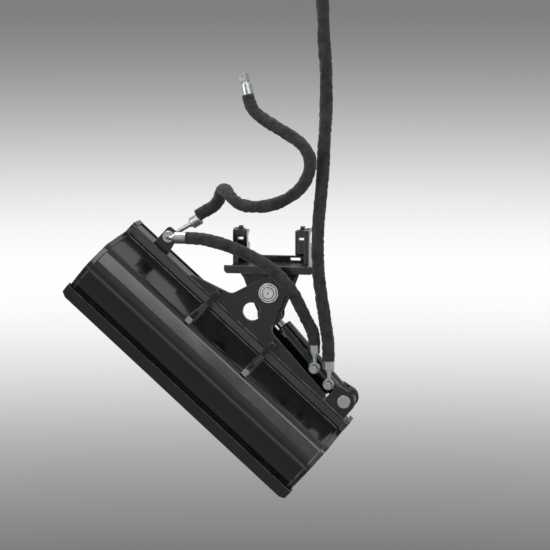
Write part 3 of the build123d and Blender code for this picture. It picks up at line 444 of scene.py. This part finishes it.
def sleeve_tube(name, route, seed):
    """A closed tube of woven sleeve round the hose's line, creased across and drawn in at
    its two ends."""
    line, length = even_points(hose_line(name, route), ring_step)
    vertices, faces, uvs = [], [], []
    heading = (line[1] - line[0]).normalized()
    side = heading.orthogonal().normalized()
    for k, centre in enumerate(line):
        after, before = line[min(k + 1, len(line) - 1)], line[max(k - 1, 0)]
        new_heading = (after - before).normalized()
        side = heading.rotation_difference(new_heading) @ side
        heading = new_heading
        across = heading.cross(side)
        along = length * k / (len(line) - 1)
        end = min(along, length - along)
        for j in range(ring_sides):
            turn = 2 * math.pi * j / ring_sides
            out = side * math.cos(turn) + across * math.sin(turn)
            bulge = noise.noise(Vector((out.x + seed, out.y + along * 14, out.z)))
            fold = noise.noise(Vector((along * 48 + seed, turn_wave(turn) * 0.8, along * 9)))
            pucker = noise.noise(Vector((along * 95 + out.x * 2, out.y * 2, out.z * 2 + seed)))
            crease = 1 - min(1.0, abs(fold) * 4)
            slack = min(1.0, end / 0.025)
            swell = 1 + slack * (0.12 * bulge - 0.09 * crease + 0.09 * pucker + 0.03)
            vertices.append(centre + out * sleeve_radius * swell)
    for k in range(len(line) - 1):
        for j in range(ring_sides):
            next_j = (j + 1) % ring_sides
            faces.append((k * ring_sides + j, k * ring_sides + next_j,
                          (k + 1) * ring_sides + next_j, (k + 1) * ring_sides + j))
            run, lap = length / (len(line) - 1), 2 * math.pi * sleeve_radius / ring_sides
            uvs += [(j * lap, k * run), ((j + 1) * lap, k * run),
                    ((j + 1) * lap, (k + 1) * run), (j * lap, (k + 1) * run)]
    faces.append(tuple(reversed(range(ring_sides))))
    faces.append(tuple((len(line) - 1) * ring_sides + j for j in range(ring_sides)))
    uvs += [(0.0, 0.0)] * (2 * ring_sides)
    mesh = bpy.data.meshes.new(name)
    mesh.from_pydata(vertices, [], faces)
    layer = mesh.uv_layers.new(name="sleeve")
    for loop, uv in zip(layer.data, uvs):
        loop.uv = uv
    mesh.polygons.foreach_set("use_smooth", [True] * (len(faces) - 2) + [False] * 2)
    mesh.materials.append(sleeve_weave)
    piece = bpy.data.objects.new(name, mesh)
    bpy.context.scene.collection.objects.link(piece)
    return piece, line


def from_pivot(route):
    """Points given in millimetres from the pivot, as metres from the coupler seat."""
    return [Vector((x / 1000, (y - 35.0) / 1000, (z - 141.0) / 1000)) for x, y, z in route]


sleeve_weave = woven_nylon()
cross_route = from_pivot((
    (-219.4, -60, 145.7), (-187.4, -60, 145.7), (-134, -65, 136), (-84, -73, 121),
    (-36, -79, 101), (8, -81, 75), (43, -81, 45), (72, -78, 9), (92, -72, -32),
    (106, -60, -68), (123.9, -43.5, -102.9), (123.9, -43.5, -134.9)))
cross_sleeve, cross_line = sleeve_tube("cross_hose_sleeve", cross_route, 3.0)
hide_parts("cross_hose")
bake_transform(cross_sleeve)

loop_route = from_pivot((
    (-205.4, 24, 198), (-178, 24, 214.5), (-149, 27, 233), (-139, 16, 262), (-124, -10, 276),
    (-107, -40, 262), (-84, -60, 242), (-48, -70, 232), (-4, -76, 234), (42, -82, 248),
    (85, -86, 275), (114, -88, 313), (121, -87, 358), (104, -83, 394), (70, -77, 420),
    (28, -71, 444), (-12, -63, 465), (-45, -53, 490), (-54, -46, 525)))
loop_sleeve, loop_line = sleeve_tube("loop_hose_sleeve", loop_route, 17.0)
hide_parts("loop_hose")
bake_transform(loop_sleeve)

long_route = from_pivot((
    (162.1, -43.5, -177.8), (162.1, -43.5, -145.8), (158, -52, -92), (150, -60, -36),
    (142, -66, 26), (136, -68, 92), (135, -66, 160), (140, -62, 230), (147, -58, 304),
    (150, -56, 380), (154, -56, 460), (157, -56, 545), (153, -56, 632), (147, -56, 716),
    (144, -56, 800)))
long_sleeve, long_line = sleeve_tube("long_hose_sleeve", long_route, 29.0)
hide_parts("long_hose")
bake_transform(long_sleeve)

# Studio: a pale paper floor well below the bucket, large softboxes and pale air. Camera and
# mirror rays see the photograph's ground, mid grey low down and at eye level, white between.


def seen_apart(owner, lit, seen):
    """One shader for light to meet, and another for the camera, mirrors and glass to see."""
    ray = add_node(owner, "ShaderNodeLightPath").outputs
    direct = add_node(owner, "ShaderNodeMath", {
        0: ray["Is Camera Ray"], 1: ray["Is Glossy Ray"]}, operation="MAXIMUM")
    either = add_node(owner, "ShaderNodeMath", {
        0: direct.outputs[0], 1: ray["Is Transmission Ray"]}, operation="MAXIMUM")
    return add_node(owner, "ShaderNodeMixShader", {
        0: either.outputs[0], 1: lit.outputs[0], 2: seen.outputs[0]}).outputs[0]


low_grey = "#7e7e7e"
bpy.ops.mesh.primitive_circle_add(
    vertices=96, radius=2.4, fill_type="NGON", location=(0, 0, pivot_level - 1.5))
bpy.ops.object.transform_apply(location=True)
floor = bpy.context.active_object
floor.name = "studio_floor"
floor_paper, floor_output = new_material("floor_paper")
paper = add_node(floor_paper, "ShaderNodeBsdfDiffuse", {"Color": linear("#e4e4e4")})
ground = add_node(floor_paper, "ShaderNodeEmission", {"Color": linear(low_grey)})
floor_paper.node_tree.links.new(seen_apart(floor_paper, paper, ground),
                                floor_output.inputs["Surface"])
floor.data.materials.append(floor_paper)


def softbox(name, place, aim, width, height, power):
    """A large flat studio lamp turned towards a point."""
    bpy.ops.object.light_add(type="AREA", location=place)
    lamp = bpy.context.active_object
    lamp.name = name
    lamp.data.shape = "RECTANGLE"
    lamp.data.size, lamp.data.size_y = width, height
    lamp.data.energy = power
    lamp.rotation_euler = (Vector(aim) - Vector(place)).to_track_quat("-Z", "Y").to_euler()
    return lamp


middle = Vector((0.03, -0.1, -0.1))
softbox("overhead_softbox", (-0.7, 0.3, 2.5), middle, 2.4, 1.6, 40)
softbox("left_softbox", (-2.6, -2.6, 1.2), middle, 1.2, 1.6, 26)
softbox("right_softbox", (3.0, -1.2, 1.0), middle, 0.5, 1.8, 9)
# Long light that the back's steep flat mirrors, laid along the bucket as it hangs.
sheen = softbox("sheen_softbox", (1.6, -2.3, 1.95), middle, 1.9, 0.8, 12)
sheen.rotation_euler.rotate_axis("Z", math.radians(-42))

world = bpy.data.worlds.new("studio_air")
world.use_nodes = True
world.node_tree.nodes.clear()
bpy.context.scene.world = world
way = add_node(world, "ShaderNodeTexCoord").outputs["Generated"]
rise = add_node(world, "ShaderNodeSeparateXYZ", {0: way}).outputs["Z"]
share = add_node(world, "ShaderNodeMapRange", {"Value": rise, "From Min": -0.25, "From Max": 0.35})
shading = add_node(world, "ShaderNodeValToRGB", {0: share.outputs[0]})
ramp = shading.color_ramp
ramp.interpolation = "CARDINAL"
tones = ((0.0, low_grey), (0.1, "#c3c3c3"), (0.206, "#ffffff"), (0.312, "#c6c6c6"),
         (0.417, "#7f7f7f"), (1.0, "#b0b1b3"))
while len(ramp.elements) < len(tones):
    ramp.elements.new(0.5)
for stop, (position, tone) in zip(ramp.elements, tones):
    stop.position = position
    stop.color = linear(tone)
seen = add_node(world, "ShaderNodeBackground", {"Color": shading.outputs["Color"], "Strength": 1.0})
air = add_node(world, "ShaderNodeBackground", {"Color": linear("#e8eaec"), "Strength": 0.5})
add_node(world, "ShaderNodeOutputWorld", {"Surface": seen_apart(world, air, seen)})

# Camera: where the photograph was taken from, solved from the pivot, the plates and the beam.
camera_azimuth = math.radians(9.5)
camera_elevation = math.radians(7.2)
camera_distance = 5.726
pivot = Vector((0.0, -0.035, pivot_level))
sideways = Vector((math.cos(camera_azimuth), math.sin(camera_azimuth), 0))
towards_camera = Vector((math.sin(camera_azimuth) * math.cos(camera_elevation),
                         -math.cos(camera_azimuth) * math.cos(camera_elevation),
                         math.sin(camera_elevation)))
upwards = towards_camera.cross(sideways)
aim = pivot + sideways * 0.0104 + upwards * 0.0431
bpy.ops.object.camera_add(location=aim + towards_camera * camera_distance)
camera = bpy.context.active_object
camera.rotation_euler = (-towards_camera).to_track_quat("-Z", "Y").to_euler()
camera.data.sensor_width = 36.0
camera.data.lens = 2133 / 550 * 36.0
bpy.context.scene.camera = camera

bpy.context.scene.view_settings.view_transform = "Standard"
